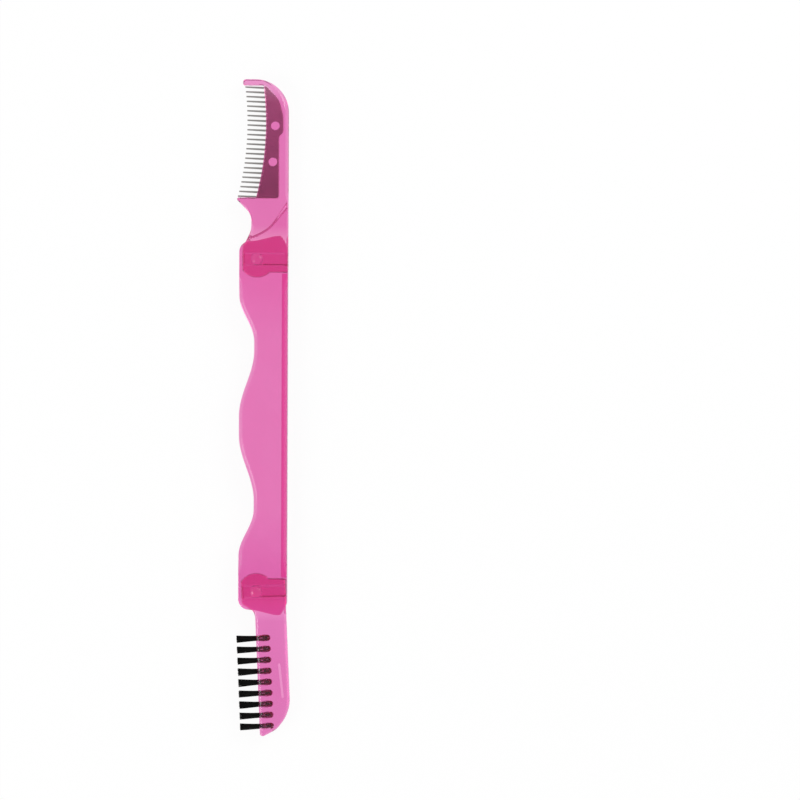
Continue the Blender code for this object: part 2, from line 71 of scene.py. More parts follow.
pixel, picture_side = 0.24 * MM, 800
middle = 3.0  # height of the comb's middle plane over its lowest face, in mm
aim_x, aim_y, lean = 32.76, 6.21, 0.0035  # what the picture's middle shows, and its turn
lens = bpy.data.cameras.new("long_lens")
lens.lens, lens.sensor_width = 150, 36
camera_height = pixel * picture_side * lens.lens / lens.sensor_width
camera = add_object("camera", lens)
camera.location = (aim_x * MM, aim_y * MM, middle * MM + camera_height)
camera.rotation_euler = (0, 0, lean)
scene.camera = camera
print("camera stands", round(camera_height, 3), "m above the comb")

# %% [markdown]
# ## Node helpers
#
# A material is a small graph of nodes, and wiring one by hand takes many lines. In these
# helpers a socket takes a value or another node's output, and most of them give back an
# output that the next one can take, so a formula reads from the inside out.

# %% Node helpers
def fill(node, sockets):
    """Fill sockets: each takes a value, a red, green and blue, or a (node, output)."""
    for name, value in sockets.items():
        socket = node.inputs[name]
        if isinstance(value, tuple) and isinstance(value[0], bpy.types.Node):
            node.id_data.links.new(value[0].outputs[value[1]], socket)
        else:
            socket.default_value = (*value, 1) if socket.type == "RGBA" else value


def add_node(tree, kind, sockets=(), **settings):
    """Add a ShaderNode of a kind, with its plain settings and its sockets."""
    node = tree.nodes.new("ShaderNode" + kind)
    for name, value in settings.items():
        setattr(node, name, value)
    fill(node, dict(sockets))
    return node


def calculate(tree, operation, *values):
    """Result of a sum on numbers and outputs."""
    return add_node(tree, "Math", dict(enumerate(values)), operation=operation), "Value"


def mix(tree, share, first, second, kind="RGBA", **settings):
    """What goes from the first colour or number to the second as the share grows."""
    return add_node(tree, "Mix", {"Factor": share, "A": first, "B": second},
                    data_type=kind, **settings), "Result"


def stretch(tree, value, start, end, low=0.0, high=1.0):
    """What goes from low to high while the value goes from start to end."""
    return add_node(tree, "MapRange", {"Value": value, "From Min": start, "From Max": end,
                                       "To Min": low, "To Max": high}), "Result"


def axis_of(tree, place, kind, axis):
    """One axis of the coordinates of a kind."""
    return add_node(tree, "SeparateXYZ", {"Vector": (place, kind)}), axis


def new_material(name):
    """A new material with its tree, its Principled shader and its coordinates."""
    material = bpy.data.materials.new(name)
    material.use_nodes = True
    tree = material.node_tree
    return material, tree, tree.nodes["Principled BSDF"], add_node(tree, "TexCoord")


print("node helpers are ready")

# %% [markdown]
# ## White light
#
# Pack shots of clear things are lit by a bright sky all round and a few large soft boxes.
# The light on the comb stays plain: world and table are white only to rays that see them
# straight, through the plastic or in a reflection. Straight overhead the sky is dimmer,
# as it is round a camera, which greys the steel.

# %% World
def seen_straight(tree, ray):
    """1 for rays from the camera and for rays that came through clear plastic."""
    return calculate(tree, "MAXIMUM", (ray, "Is Camera Ray"), (ray, "Is Transmission Ray"))


def make_world(light_all_round=0.62, mirrored_overhead=0.40):
    """Sky that is white to straight and clear rays, and dimmer overhead to mirror rays.

    The dimming starts where the z of a direction is 0.55 and is full at 0.95.
    """
    world = bpy.data.worlds.new("white_room")
    world.use_nodes = True
    tree = world.node_tree
    tree.nodes.clear()
    ray, place = add_node(tree, "LightPath"), add_node(tree, "TexCoord")
    height = axis_of(tree, place, "Generated", "Z")
    overhead = stretch(tree, height, 0.55, 0.95, 1.0, mirrored_overhead)
    lit = mix(tree, seen_straight(tree, ray), light_all_round, 1.0, "FLOAT")
    strength = mix(tree, (ray, "Is Glossy Ray"), lit, overhead, "FLOAT")
    glow = add_node(tree, "Background", {"Color": (1, 1, 1), "Strength": strength})
    add_node(tree, "OutputWorld", {"Surface": (glow, "Background")})
    return world


scene.world = make_world()
scene.view_settings.view_transform = "Standard"
print("world:", scene.world.name)

# %% [markdown]
# ## Two soft boxes
#
# One stands to the left and one to the right, a step higher than the table. They are
# large, so each draws a broad pale glint on a rounded edge and not a hard white dot.

# %% Lamps
def add_softbox(name, place, side=0.44, power=2.4):
    """Square lamp, in metres and watts, that faces the comb's middle."""
    lamp = bpy.data.lights.new(name, "AREA")
    lamp.shape, lamp.size, lamp.energy = "SQUARE", side, power
    holder = add_object(name, lamp)
    holder.location = place
    holder.rotation_euler = holder.location.to_track_quat("Z", "Y").to_euler()


add_softbox("softbox_left", (-0.55, -0.28, 0.60))
add_softbox("softbox_right", (0.45, 0.42, 0.55))
print("lamps:", [light.name for light in bpy.data.lights])

# %% [markdown]
# ## The table
#
# A wide flat sheet just under the comb. Most of its white is its own, so that it prints
# as clean white, and the rest is lit, so that the comb still leaves a faint shadow.

# %% Table
def white_table_paint(own_white=0.93):
    """Diffuse paint, and its own white for rays that see it straight or in a mirror."""
    material, tree, *_ = new_material("white_table")
    tree.nodes.clear()
    ray = add_node(tree, "LightPath")
    seen = calculate(tree, "MAXIMUM", seen_straight(tree, ray), (ray, "Is Glossy Ray"))
    paint = add_node(tree, "BsdfDiffuse", {"Color": (0.93, 0.93, 0.93)})
    glow = add_node(tree, "Emission", {"Color": (1, 1, 1), "Strength": 1.0})
    both = add_node(tree, "MixShader", {
        "Fac": calculate(tree, "MULTIPLY", seen, own_white), 1: (paint, "BSDF"),
        2: (glow, "Emission")})
    add_node(tree, "OutputMaterial", {"Surface": (both, "Shader")})
    return material


def add_mesh(name, points, faces):
    """New mesh object at the origin, from points in metres and their faces."""
    mesh = bpy.data.meshes.new(name)
    mesh.from_pydata(points.tolist(), [], faces)
    return add_object(name, mesh)


def make_table(gap=0.25 * MM, half_side=1.6):
    """Flat square below the comb, from a 2 by 2 grid of corners."""
    x, y = np.meshgrid([-half_side, half_side], [-half_side, half_side])
    corners = np.stack([x, y, np.full_like(x, -gap)], -1).reshape(-1, 3)
    table = add_mesh("table", corners, [(0, 1, 3, 2)])
    table.data.materials.append(white_table_paint())
    print("table:", 2 * half_side, "m wide,", round(gap / MM, 2), "mm under the comb")


make_table()

# %% [markdown]
# ## Outlines with rounded corners
#
# A moulded arm is a flat shape with soft corners. It is written as a few corners, and
# each becomes an arc that touches both of its sides. The outline is then walked at even
# steps, because even steps make even facets, and clear plastic shows uneven ones.

# %% Rounded outlines
def unit(vectors):
    """Each vector shrunk to length one."""
    return vectors / np.maximum(np.linalg.norm(vectors, axis=-1, keepdims=True), 1e-12)


def even(points, step):
    """Closed outline walked anticlockwise: its coordinates, read off at equal distances."""
    closed = np.vstack([points, points[:1]])
    walked = np.concatenate([[0], np.cumsum(np.linalg.norm(np.diff(closed, axis=0), axis=1))])
    count = max(16, int(round(walked[-1] / step)))
    stops = np.linspace(0, walked[-1], count, endpoint=False)
    outline = np.stack([np.interp(stops, walked, closed[:, axis]) for axis in (0, 1)], 1)
    x, y = outline.T
    area = np.sum(x * np.roll(y, -1) - y * np.roll(x, -1)) / 2
    return outline if area > 0 else outline[::-1]


def on_circle(angle):
    """Points of a circle of radius one."""
    return np.stack([np.cos(angle), np.sin(angle)], -1)


def whole_circle(count):
    """Points at even steps round a circle of radius one."""
    return on_circle(np.linspace(0, 2 * math.pi, count, endpoint=False))


def rounded(corners, arc_points=25):
    """Outline through (x, y, radius) corners, in mm.

    An arc has its centre on the line that halves its corner, at radius / sin(half the
    angle), and starts radius / tan(half the angle) from the corner. Two arcs that would
    meet on a side shrink until they share it.
    """
    corners = np.asarray(corners, float)
    place, radius = corners[:, :2], corners[:, 2]
    before, after = np.roll(place, 1, 0) - place, np.roll(place, -1, 0) - place
    side = np.linalg.norm(after, axis=1)
    before, after = unit(before), unit(after)
    half = np.arccos(np.clip((before * after).sum(1), -1, 1)) / 2
    half = np.clip(half, 1e-3, None)
    wanted = radius / np.tan(half)
    fits = np.minimum(1, 0.999 * side / np.maximum(wanted + np.roll(wanted, -1), 1e-9))
    reach = wanted * np.minimum(fits, np.roll(fits, 1))
    radius = reach * np.tan(half)
    centre = place + unit(before + after) * (radius / np.sin(half))[:, None]
    reach = reach[:, None]
    first, last = place + before * reach - centre, place + after * reach - centre
    start = np.arctan2(first[:, 1], first[:, 0])
    turn = np.arctan2(first[:, 0] * last[:, 1] - first[:, 1] * last[:, 0],
                      (first * last).sum(1))
    angle = start[:, None] + turn[:, None] * np.linspace(0, 1, arc_points)
    return (centre[:, None] + radius[:, None, None] * on_circle(angle)).reshape(-1, 2)


square = [(1, 1, 0.2), (-1, 1, 0.2), (-1, -1, 0.2), (1, -1, 0.2)]
print("a rounded square has", len(even(rounded(square), 0.1)), "points")

# %% [markdown]
# ## How wide a rounded edge may be
#
# A moulded plate is its outline carried up through an edge profile: at each height the
# outline has moved inwards a little. On a tight corner it can't move in far, so the
# rounded edge is narrower there.

# %% Edge widths
def inwards(outline):
    """Direction that points into an anticlockwise outline, square to it, at each point."""
    along = np.roll(outline, -1, 0) - np.roll(outline, 1, 0)
    return unit(np.stack([-along[:, 1], along[:, 0]], 1))


def edge_width(outline, wanted, slope=0.5):
    """Width of the rounded edge at each point: what is wanted, or less where room is short.

    The room at a point p is the largest circle inside the outline that touches it there.
    Its radius is the least |q - p|^2 / (2 n.(q - p)) over all other points q, where n
    points inwards. Away from a narrow place the width grows by the slope at most. The
    mean of seven neighbours evens it out.
    """
    apart = outline[None] - outline[:, None]
    ahead = (apart * inwards(outline)[:, None]).sum(2)
    circle = np.where(ahead > 1e-6, (apart ** 2).sum(2) / (2 * np.maximum(ahead, 1e-6)), 1e6)
    room = np.minimum(wanted, 0.8 * circle.min(1))
    count = len(outline)
    steps = np.abs(np.arange(count)[:, None] - np.arange(count))
    walk = np.minimum(steps, count - steps) * np.linalg.norm(outline[1] - outline[0])
    width = (room[None] + slope * walk).min(1)
    return np.convolve(np.concatenate([width[-3:], width, width[:3]]), np.ones(7) / 7, "valid")


print("an edge of 2 mm wanted on it gets", edge_width(even(rounded(square), 0.1), 2.0).max())

# %% [markdown]
# ## A body from an outline
#
# The rows of the carried outline are joined by quads, with one flat face at each end.
# The profile of a moulded side stops short of upright: plastic that turns on to upright
# traps light and draws a black line.

# %% Bodies from outlines
def soft_side(drop, tilt=70, steps=8):
    """Profile of a moulded side, as (share moved in, share of half height).

    An arc leaves the flat face and stops at the tilt, after falling by the drop. A
    straight wall joins it to the mirrored arc below.
    """
    angle = np.linspace(0, math.radians(tilt), steps)
    arc = np.stack([1 - np.sin(angle) / np.sin(angle[-1]),
                    1 - drop * (1 - np.cos(angle)) / (1 - np.cos(angle[-1]))], 1)
    return np.vstack([arc * (1, -1), arc[::-1]])


def carry(outline, width, profile, low, high, fall=1.0):
    """Rows of a body: row v is the outline moved in by width times profile[v, 0].

    Its height runs from low to high as profile[v, 1] runs from -1 to 1. A fall under 1
    keeps the whole profile that much closer to the flat faces.
    """
    flat = outline[None] + inwards(outline)[None] * (profile[:, :1] * width)[..., None]
    share, fall = profile[:, 1:], np.broadcast_to(fall, len(outline))
    share = np.sign(share) * (1 - (1 - np.abs(share)) * fall)
    return np.concatenate([flat, ((low + high) / 2 + share * (high - low) / 2)[..., None]], -1)


def make_body(name, rows, carried=np.asarray):
    """Mesh object from rows of points in mm: quads between rows, a flat face at each end.

    Rows are (row, point, xyz), or (body, row, point, xyz) for many bodies in one mesh. The
    points are in the row frame, unless a function is given that carries them there.
    """
    number = np.arange(rows[..., 0].size).reshape(-1, *rows.shape[-3:-1])
    right = np.roll(number, -1, 2)
    quads = np.stack([number[:, :-1], right[:, :-1], right[:, 1:], number[:, 1:]], -1)
    ends = np.concatenate([number[:, 0][:, ::-1], number[:, -1]])
    body = add_mesh(name, carried(rows.reshape(-1, 3)) * MM,
                    quads.reshape(-1, 4).tolist() + ends.tolist())
    body.data.validate()
    return body


def upright_body(name, outline, low, high, carried=np.asarray):
    """Body with upright sides: the outline carried straight up from low to high."""
    rows = carry(outline, np.zeros(len(outline)), np.array([(0, -1), (0, 1)]), low, high)
    return make_body(name, rows, carried)


print("a soft side has", len(soft_side(0.3)), "rows")

# %% [markdown]
# ## Cutting and joining
#
# Slots, bores and studs are easier to cut or add than to weave into one grid, so an exact
# Boolean does it, and its result is kept. Two shapes are needed often: a turned body for
# bores, studs and holes, and a bar with sloping sides for ribs.

# %% Cutting and joining
def shape_with(body, tools, operation="DIFFERENCE"):
    """Cut tools away from a body, or join them to it, and keep the result as its mesh."""
    for tool in tools:
        change = body.modifiers.new(tool.name, "BOOLEAN")
        change.operation, change.object = operation, tool
    bpy.context.view_layer.update()
    depsgraph = bpy.context.evaluated_depsgraph_get()
    made = bpy.data.meshes.new_from_object(body.evaluated_get(depsgraph))
    body.modifiers.clear()
    body.data = made
    print(body.name, operation.lower(), [tool.name for tool in tools])
    for tool in tools:
        bpy.data.objects.remove(tool)


def with_third(points, value):
    """Flat points with one more number: a height, or the radius of a corner."""
    return np.column_stack([points, np.full(len(points), value)])


def turned_rows(place, profile, count=64):
    """Rows of a turned body: a circle at each (radius, height), about a place in mm."""
    return np.stack([with_third(whole_circle(count) * radius + place, height)
                     for radius, height in profile])


def bar_rows(stops, sides):
    """Rows of a bar along x through the stops, with a (half width, height) for each row."""
    edge = with_third(np.array(stops), -1.0)
    corners = np.vstack([edge, edge[::-1] * (1, -1)])
    return np.stack([with_third(corners * (1, width), height) for width, height in sides])


print("a turned ring has", turned_rows((0, 0), [(1, 0)]).shape[1], "points")

# %% [markdown]
# ## Finishing a piece
#
# Smooth shading is switched on for gentle edges only. A level face is truly flat, so each
# edge round it is kept sharp: smooth shading would bend its reflections near the rim. The
# piece is then handed to the frame under its body.

# %% Finishing
def read(items, name, width=1, kind=float):
    """One property of all of a mesh's items, as an array."""
    values = np.empty(width * len(items), kind)
    items.foreach_get(name, values)
    return values


def keep_number(mesh, name, domain, values):
    """Keep a number for each face or point of a mesh, where a material can read it."""
    mesh.attributes.new(name, "FLOAT", domain).data.foreach_set(
        "value", values.astype(np.float32))


def keep_flats(mesh):
    """Sharpen every edge between a level face and one that isn't, so that flats stay flat."""
    edges = read(mesh.loops, "edge_index", kind=np.int32)
    sharp = read(mesh.edges, "use_edge_sharp", kind=bool)
    level = np.abs(read(mesh.polygons, "normal", 3)[2::3]) > 0.99995
    level = level.repeat(read(mesh.polygons, "loop_total", kind=np.int32))
    levels = np.bincount(edges, level, len(sharp))
    sharp |= (levels > 0) & (levels < np.bincount(edges, minlength=len(sharp)))
    mesh.edges.foreach_set("use_edge_sharp", sharp)


def finish_piece(piece, material, rides_on, stands_for, sharp_degrees=32):
    """Shade a piece, give it its material and hand it to the frame."""
    piece.data.name = piece.name
    piece.data.materials.clear()
    piece.data.materials.append(material)
    piece.data.shade_smooth()
    piece.data.set_sharp_from_angle(angle=math.radians(sharp_degrees))
    keep_flats(piece.data)
    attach(piece, rides_on)
    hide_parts(*stands_for)
    print(piece.name, "has", len(piece.data.polygons), "faces")


print("frame nodes to dress:", len(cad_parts))

# %% [markdown]
# ## The tint of the plastic
#
# The plastic is dyed right through. One millimetre swallows some of each colour, most of
# all green, which leaves pink, and two thicknesses leave a deeper pink: that is a volume
# absorption. Each skin takes a little colour too, so that the deep back wall isn't far
# darker than the thin plates. The tint changes along each piece, and painted light pales
# it on rounded rims, standing in for the light that real plastic lets in from the side.

# %% Tint of the skins
def tint_along(tree, place, stops):
    """Colour ramp along y: stops are (y in mm, red, green, blue, how far painted rim light
    pales it there).
    """
    low, high = stops[0][0], stops[-1][0]
    share = stretch(tree, axis_of(tree, place, "Object", "Y"), low * MM, high * MM)
    ramp = add_node(tree, "ValToRGB", {"Fac": share})
    while len(ramp.color_ramp.elements) < len(stops):
        ramp.color_ramp.elements.new(0.5)
    for element, (y, *tint) in zip(ramp.color_ramp.elements, stops):
        element.position, element.color = (y - low) / (high - low), tint
    return ramp


def paint_rim_light(tree, place, ramp, turns):
    """Tint that painted rim light pales as the normal's height falls through turns, and how
    far it fell.
    """
    height = calculate(tree, "ABSOLUTE", axis_of(tree, place, "Normal", "Z"))
    turned = stretch(tree, height, *turns)
    share = calculate(tree, "MULTIPLY", turned, (ramp, "Alpha"))
    # painted light: on rims the tint pales towards this near white
    return mix(tree, share, (ramp, "Color"), (1.0, 0.98, 0.99)), turned


def cloud(tree, place, scale, detail, kind="Object"):
    """Cloudy pattern with so many blots to a metre of the piece's own coordinates."""
    return add_node(tree, "TexNoise", {"Vector": (place, kind), "Scale": scale,
                                       "Detail": detail}), "Fac"


def kept_number(tree, name):
    """A number that the mesh keeps under a name."""
    return add_node(tree, "Attribute", attribute_name=name), "Fac"


def marked(tree, place, tint):
    """Paint shade on faces marked up to 1 by deepening the tint, and paint light on faces
    marked down to -1 by clearing it to white.

    A faint cloud multiplies it all. Gives the tint and the mark.
    """
    mark = kept_number(tree, "painted_light_shade_and_haze")
    # painted shade: the tint deepens to this pink on faces marked above 0
    deep = mix(tree, mark, tint, (0.62, 0.14, 0.34))
    # painted light: the tint clears to white on faces marked below 0
    clear = mix(tree, calculate(tree, "MULTIPLY", mark, -1.0), deep, (1.0, 1.0, 1.0))
    drift = mix(tree, cloud(tree, place, 130.0, 2.0), (0.985, 0.950, 0.970),
                (1.005, 1.045, 1.025))
    return mix(tree, 1.0, clear, drift, blend_type="MULTIPLY"), mark


print("tint helpers are ready")

# %% [markdown]
# ## Clear pink plastic
#
# A clear shader with the refraction of moulded plastic. Its haze drifts in a slow cloud
# and grows a little on the rims and most on the marked faces, where a mould's corner
# wears. A fine ripple in the surface breaks up the reflections.

# %% Clear pink plastic
swallowed_per_metre, density, haze = np.array([33, 426, 167]), 2000.0, 0.035


def relief(tree, pattern, strength, depth):
    """Normal of a surface with a pattern pressed into it, so many mm deep."""
    return add_node(tree, "Bump", {"Height": pattern, "Strength": strength,
                                   "Distance": depth * MM}), "Normal"


def clear_pink(name, stops, turns=(0.995, 0.75)):
    """Tinted glass: stops are what a pair of skins lets through.

    A metre swallows density * (1 - colour), so the volume's colour is 1 - share / density.
    Roughness = haze + 0.18 * how far a rim has turned + 0.45 * the cube of the mark.
    """
    material, tree, shader, place = new_material(name)
    tint, turned = paint_rim_light(tree, place, tint_along(tree, place, stops), turns)
    skin, mark = marked(tree, place, tint)
    rough = stretch(tree, cloud(tree, place, 260.0, 3.0), 0.3, 0.7, haze * 0.5, haze * 1.8)
    rough = calculate(tree, "MULTIPLY_ADD", turned, 0.18, rough)
    rough = calculate(tree, "MULTIPLY_ADD", calculate(tree, "POWER", mark, 3.0), 0.45, rough)
    ripple = relief(tree, cloud(tree, place, 420.0, 2.0), 0.10, 0.05)
    fill(shader, {"Transmission Weight": 1.0, "IOR": 1.49, "Base Color": skin,
                  "Roughness": rough, "Normal": ripple})
    depth = add_node(tree, "VolumeAbsorption", {
        "Color": 1 - swallowed_per_metre / density, "Density": density})
    fill(tree.nodes["Material Output"], {"Volume": (depth, "Volume")})
    return material


print("1 mm lets through", np.exp(-swallowed_per_metre * MM).round(3).tolist())

# %% [markdown]
# The handle is a little redder at the brush end, the comb arm pales at its tip, and the
# tangs are clear in the skin: they lie between the plates, which tint them enough.

# %% Three pinks
# The last number of each stop is how far painted rim light pales the tint there.
handle_pink = clear_pink("clear_pink_handle", [
    (-47, 1.000, 0.800, 0.930, 0.9), (-42.2, 1.000, 0.750, 0.910, 0.9),
    (-41, 0.950, 0.635, 0.845, 0.9), (-36, 0.950, 0.640, 0.845, 0.9),
    (-20, 0.980, 0.763, 0.895, 1.0), (20, 0.980, 0.763, 0.895, 1.0),
    (36, 0.976, 0.669, 0.854, 0.9), (47, 0.976, 0.669, 0.854, 0.9)], (0.999, 0.93))
comb_pink = clear_pink("clear_pink_comb_arm", [
    (35, 0.980, 1.000, 0.910, 0.0), (44.5, 0.980, 0.960, 0.900, 0.0),
    (48, 0.895, 0.560, 0.750, 1.0), (72, 0.895, 0.565, 0.780, 1.0),
    (77.5, 0.898, 0.590, 0.785, 1.0), (80.8, 0.940, 0.900, 0.930, 1.0),
    (84, 0.950, 0.960, 0.960, 1.0)])
brush_pink = clear_pink("clear_pink_brush_arm", [
    (-78, 0.895, 0.770, 0.890, 0.9), (-62, 0.885, 0.690, 0.840, 0.9),
    (-47, 0.900, 0.730, 0.870, 0.9), (-44.5, 1.000, 1.000, 1.000, 0.0),
    (-41.8, 1.000, 1.000, 0.950, 0.0), (-41.2, 1.000, 0.840, 0.880, 0.0),
    (-35, 1.000, 0.840, 0.880, 0.0)])
print("pinks:", [material.name for material in (handle_pink, comb_pink, brush_pink)])

# %% [markdown]
# ## The handle
#
# Two plates and a back wall, moulded as one channel that the arms fold into. Its front
# edge has two finger dips. Each is a raised cosine, which leaves the straight edge and
# reaches its depth with no corner.

# %% Handle outline
handle_half_width, handle_thickness, plate_thickness = 5.8, 2 * middle, 1.2
pivot_x, pivot_y = -1.6, 39.826
dip_depth, dip_places = 3.6, np.array([0.055, 0.453, 0.503, 0.785]) * pivot_y


def dip(y):
    """How far the front edge draws in, in mm, at a distance y from the middle."""
    crown, deep_start, deep_end, land = dip_places
    away = np.abs(y)
    going = np.clip((away - crown) / (deep_start - crown), 0, 1)
    coming = np.clip((land - away) / (land - deep_end), 0, 1)
    return dip_depth * (1 - np.cos(math.pi * np.minimum(going, coming))) / 2


def handle_outline(step=0.15):
    """Wavy front, straight back and two raked ends, each of (x, y past the pivot, radius)."""
    end = np.array([(-handle_half_width, 3.95, 2.5), (-1.392, 4.452, 4.0),
                    (2.552, 5.449, 4.0), (handle_half_width - 1.5, 5.6, 0.9),
                    (handle_half_width, 3.0, 2.5)]) + (0, pivot_y, 0)
    y = np.linspace(dip_places[3], -dip_places[3], 400)
    front = np.stack([dip(y) - handle_half_width, y], 1)
    return even(np.vstack([rounded(np.vstack([end * (1, -1, 1), end[::-1]])), front]), step)


handle_shape = handle_outline()
print("handle outline:", len(handle_shape), "points,", np.ptp(handle_shape, 0).round(2), "mm")

# %% [markdown]
# One slot cut from the front leaves the back wall standing between the two pivots. At
# each pivot a shallow band crosses the inside of both plates, where the rib of an arm
# clicks home, and a bore goes through for its studs. The rims over the arms stay nearly
# flat: a steep rim there bends the view on to the arm's dark side.

# %% Handle body
def channel_slot(wall=4.4, wall_end=pivot_y - 3.45, far=50.0):
    """Cutter between the plates: all but the back wall, which starts at x = wall."""
    upper = [(wall, wall_end, 0.3), (far, wall_end, 0), (far, far, 0), (-far, far, 0)]
    lower = [(x, -y, radius) for x, y, radius in reversed(upper)]
    region = rounded(upper + lower)
    region = region[np.r_[True, np.linalg.norm(np.diff(region, axis=0), axis=1) > 1e-6]]
    return upright_body("slot", region, plate_thickness, handle_thickness - plate_thickness)


def make_handle():
    """Outer body with rounded edges, less the slot, the click bands and the bores."""
    width = edge_width(handle_shape, 1.15)
    fall = np.interp(np.abs(handle_shape[:, 1]), [32.0, 35.5], [1.0, 0.15])
    handle = make_body("handle_channel", carry(
        handle_shape, width, soft_side(0.3), 0, handle_thickness, fall))
    bore = [(2.5, -1.0), (1.37, -0.001), (1.35, 0.05), (1.35, 5.95), (1.37, 6.001), (2.5, 7.0)]
    band = bar_rows([-4.4, 5.0], [(1.15, -2.05), (1.75, -1.79), (1.75, 1.79), (1.15, 2.05)])
    tools = [channel_slot()]
    for y in (pivot_y, -pivot_y):
        tools.append(make_body("band", band + (0, y, middle)))
        tools.append(make_body("bore", turned_rows((pivot_x, y), bore, 96)))
    shape_with(handle, tools)
    finish_piece(handle, handle_pink, "handle", ["handle"])


make_handle()

# %% [markdown]
# ## The comb arm
#
# The arm is drawn in its own frame: the pivot is the origin, y runs out to the tip and x
# to its back. Its nose is an arc about the pivot, so that it can swing past the plates,
# and the flat beside it stops against the back wall. The line of the tooth roots is an
# arc as well, the curve of a row of lashes.

# %% Comb arm outline
tang_half, wall_reach = 1.5, 6.0
nose_radius, tang_front, stop_start, stop_reach = 4.35, 3.5, 2.8, 3.15
comb_back, comb_reach = 7.45, 43.212
lash_radius, lash_crest = 70.0, 1.97
tooth_pitch, tooth_count, last_tooth = 1.137, 24, 15.2
first_tooth = last_tooth + (tooth_count - 1) * tooth_pitch
crest_y = last_tooth + 0.67 * (first_tooth - last_tooth)


def at_comb_pivot(points):
    """Carry points from the comb arm's frame to the row frame."""
    return points + (pivot_x, pivot_y, middle)


def nose(back, lean):
    """Corners round a pivot end: an arc about the pivot, then the stop face.

    The stop face is the line y cos(lean) = x sin(lean) - reach.
    """
    angle = np.linspace(math.pi + math.acos(tang_front / nose_radius),
                        2 * math.pi - math.acos(stop_start / nose_radius), 40)
    x = np.array([stop_start, back])
    y = (x * math.sin(lean) - stop_reach) / math.cos(lean)
    return np.vstack([with_third(nose_radius * on_circle(angle), 0),
                      np.column_stack([x, y, [0.3, 0.6]])])


def root_line(y):
    """The tooth roots: crest - (radius - sqrt(radius^2 - (y - crest's y)^2))."""
    return lash_crest - (lash_radius - np.sqrt(lash_radius ** 2 - (y - crest_y) ** 2))


def comb_outline(step=0.13, corner=0.4, guard=-3.55, waist=-1.45, tang_end=2.9):
    """Nose, back, upper guard, root line, lower guard and neck.

    The lower guard's rounded corner ends 1.1 mm short of the back wall when folded.
    """
    upper, lower = first_tooth + 0.38, last_tooth - 0.38
    tip = -(wall_reach - 1.1 + corner / math.tan(math.pi / 8) - corner)
    neck = lower - (waist - tip)
    roots = np.linspace(upper, lower, 60)[1:-1]
    return even(rounded(np.vstack([
        nose(comb_back, 0),
        [(comb_back, comb_reach, 8.0), (guard, comb_reach, 0.75), (guard, upper, 0.45),
         (root_line(upper), upper, 0.3)],
        with_third(np.column_stack([root_line(roots), roots]), 0),
        [(root_line(lower), lower, 0.3), (tip, lower, corner), (waist, neck, 4.0),
         (waist, tang_end + 0.506 * (neck - tang_end), 5.0),
         (-tang_front, tang_end, 1.5)]])), step)


comb_shape = comb_outline()
print("comb arm outline:", len(comb_shape), "points,", np.ptp(comb_shape, 0).round(2), "mm")

# %% [markdown]
# The steel plate lies in a thin slot behind the roots. Its hidden edge rises to a crown
# and steps in at a waist. The slot is the same a hair wider, so one function gives both.

# %% Steel plate outline
stake_places = np.array([(0.568, 0.644), (0.493, 0.313)]) * (
    comb_back, first_tooth - last_tooth) + (0, last_tooth)


def plate_back(gap):
    """Corners of the steel plate's hidden sides, moved out by a gap, in mm."""
    bottom, top = last_tooth - 0.5, first_tooth + 0.25
    length, back = top - bottom, comb_back - 1.3
    waist, start = back - 1.05, root_line(top)
    return [(waist + gap, bottom - gap, 0.6), (waist + gap, bottom + 0.545 * length, 0.9),
            (back + gap, bottom + 0.592 * length, 0.9),
            (back + gap, bottom + 0.735 * length, 5.0),
            (start + 0.79 * (back - start) + gap, bottom + 0.877 * length, 5.0),
            (start + 0.6 + gap, top + gap, 0.6)]


def pegs(name, radius):
    """A short round peg where each of the two moulded stakes locks the plate."""
    return [make_body("%s_%d" % (name, number), turned_rows(
        place, [(radius, -0.8), (radius, 0.8)], 48), at_comb_pivot)
        for number, place in enumerate(stake_places)]


print("stakes at", stake_places.round(2).tolist())

# %% [markdown]
# The head is stepped thinner than the tang along one curved line on each face, which the
# wall of the step draws with painted shade on its faces. The wall is narrow at the front
# of the arm and widens towards the back, so the cutter's two rows follow two different
# curves.

# %% The step of the head
def step_curve(count=120):
    """Where the head's thin part ends, as a smooth curve, and how far the wall slopes back.

    Both coordinates are cubics of the share of the way from the back to the front.
    """
    along = np.array([(1.15, 0.365), (0.76, 0.268), (0.46, 0.195), (0.22, 0.163),
                      (-0.36, 0.113)]) * (comb_back, comb_reach)
    stops, share = np.linspace(0, 1, 5), np.linspace(0, 1, count)
    curve = np.stack([np.polyval(np.polyfit(stops, along[:, axis], 3), share)
                      for axis in (0, 1)], 1)
    return curve, np.interp(share, stops, [2.2, 1.2, 0.62, 0.5, 0.5])


def step_at(x):
    """Height of the step's line over x, and how far its wall slopes back there."""
    curve, slope = step_curve()
    order = np.argsort(curve[:, 0])
    return [np.interp(x, curve[order, 0], values[order]) for values in (curve[:, 1], slope)]


def step_cutter(name, side, past=9.5):
    """Cutter that thins the head on one face: a ruled wall between two curves."""
    curve, slope = step_curve()
    curve[0, 0], curve[-1, 0] = past, -past
    far = [(-past, 60.0), (past, 60.0)]
    rows = np.stack([
        with_third(np.vstack([curve - slope[:, None] * (0, share), far])[::-1], height)
        for share, height in ((0, 1.27), (0.22, 1.33), (0.78, 1.44), (1, 1.52), (1, 3.0))])
    return make_body(name, rows if side > 0 else rows[::-1] * (1, 1, -1), at_comb_pivot)


def step_painted_shade(x, y, z, up):
    """Faces of the step's wall that get painted shade: its two rims, and all of its steep
    part.
    """
    edge, slope = step_at(x)
    near = (y > edge - slope - 0.03) & (y < edge + 0.03)
    near = near & (np.abs(z) > 1.275) & (np.abs(z) < 1.515) & (np.abs(up) < 0.999)
    return near & ((np.abs(z) < 1.33) | (np.abs(z) > 1.44) | (x < 4.8))


print("the step falls from", step_curve()[0].max(0), "to", step_curve()[0].min(0))

# %% [markdown]
# Both arms have the same tang. A low rib crosses it and clicks into the band of the
# plates. A stud on each face turns in the bore. Its end is dished, with a wide bevel that
# catches one glint from each soft box.

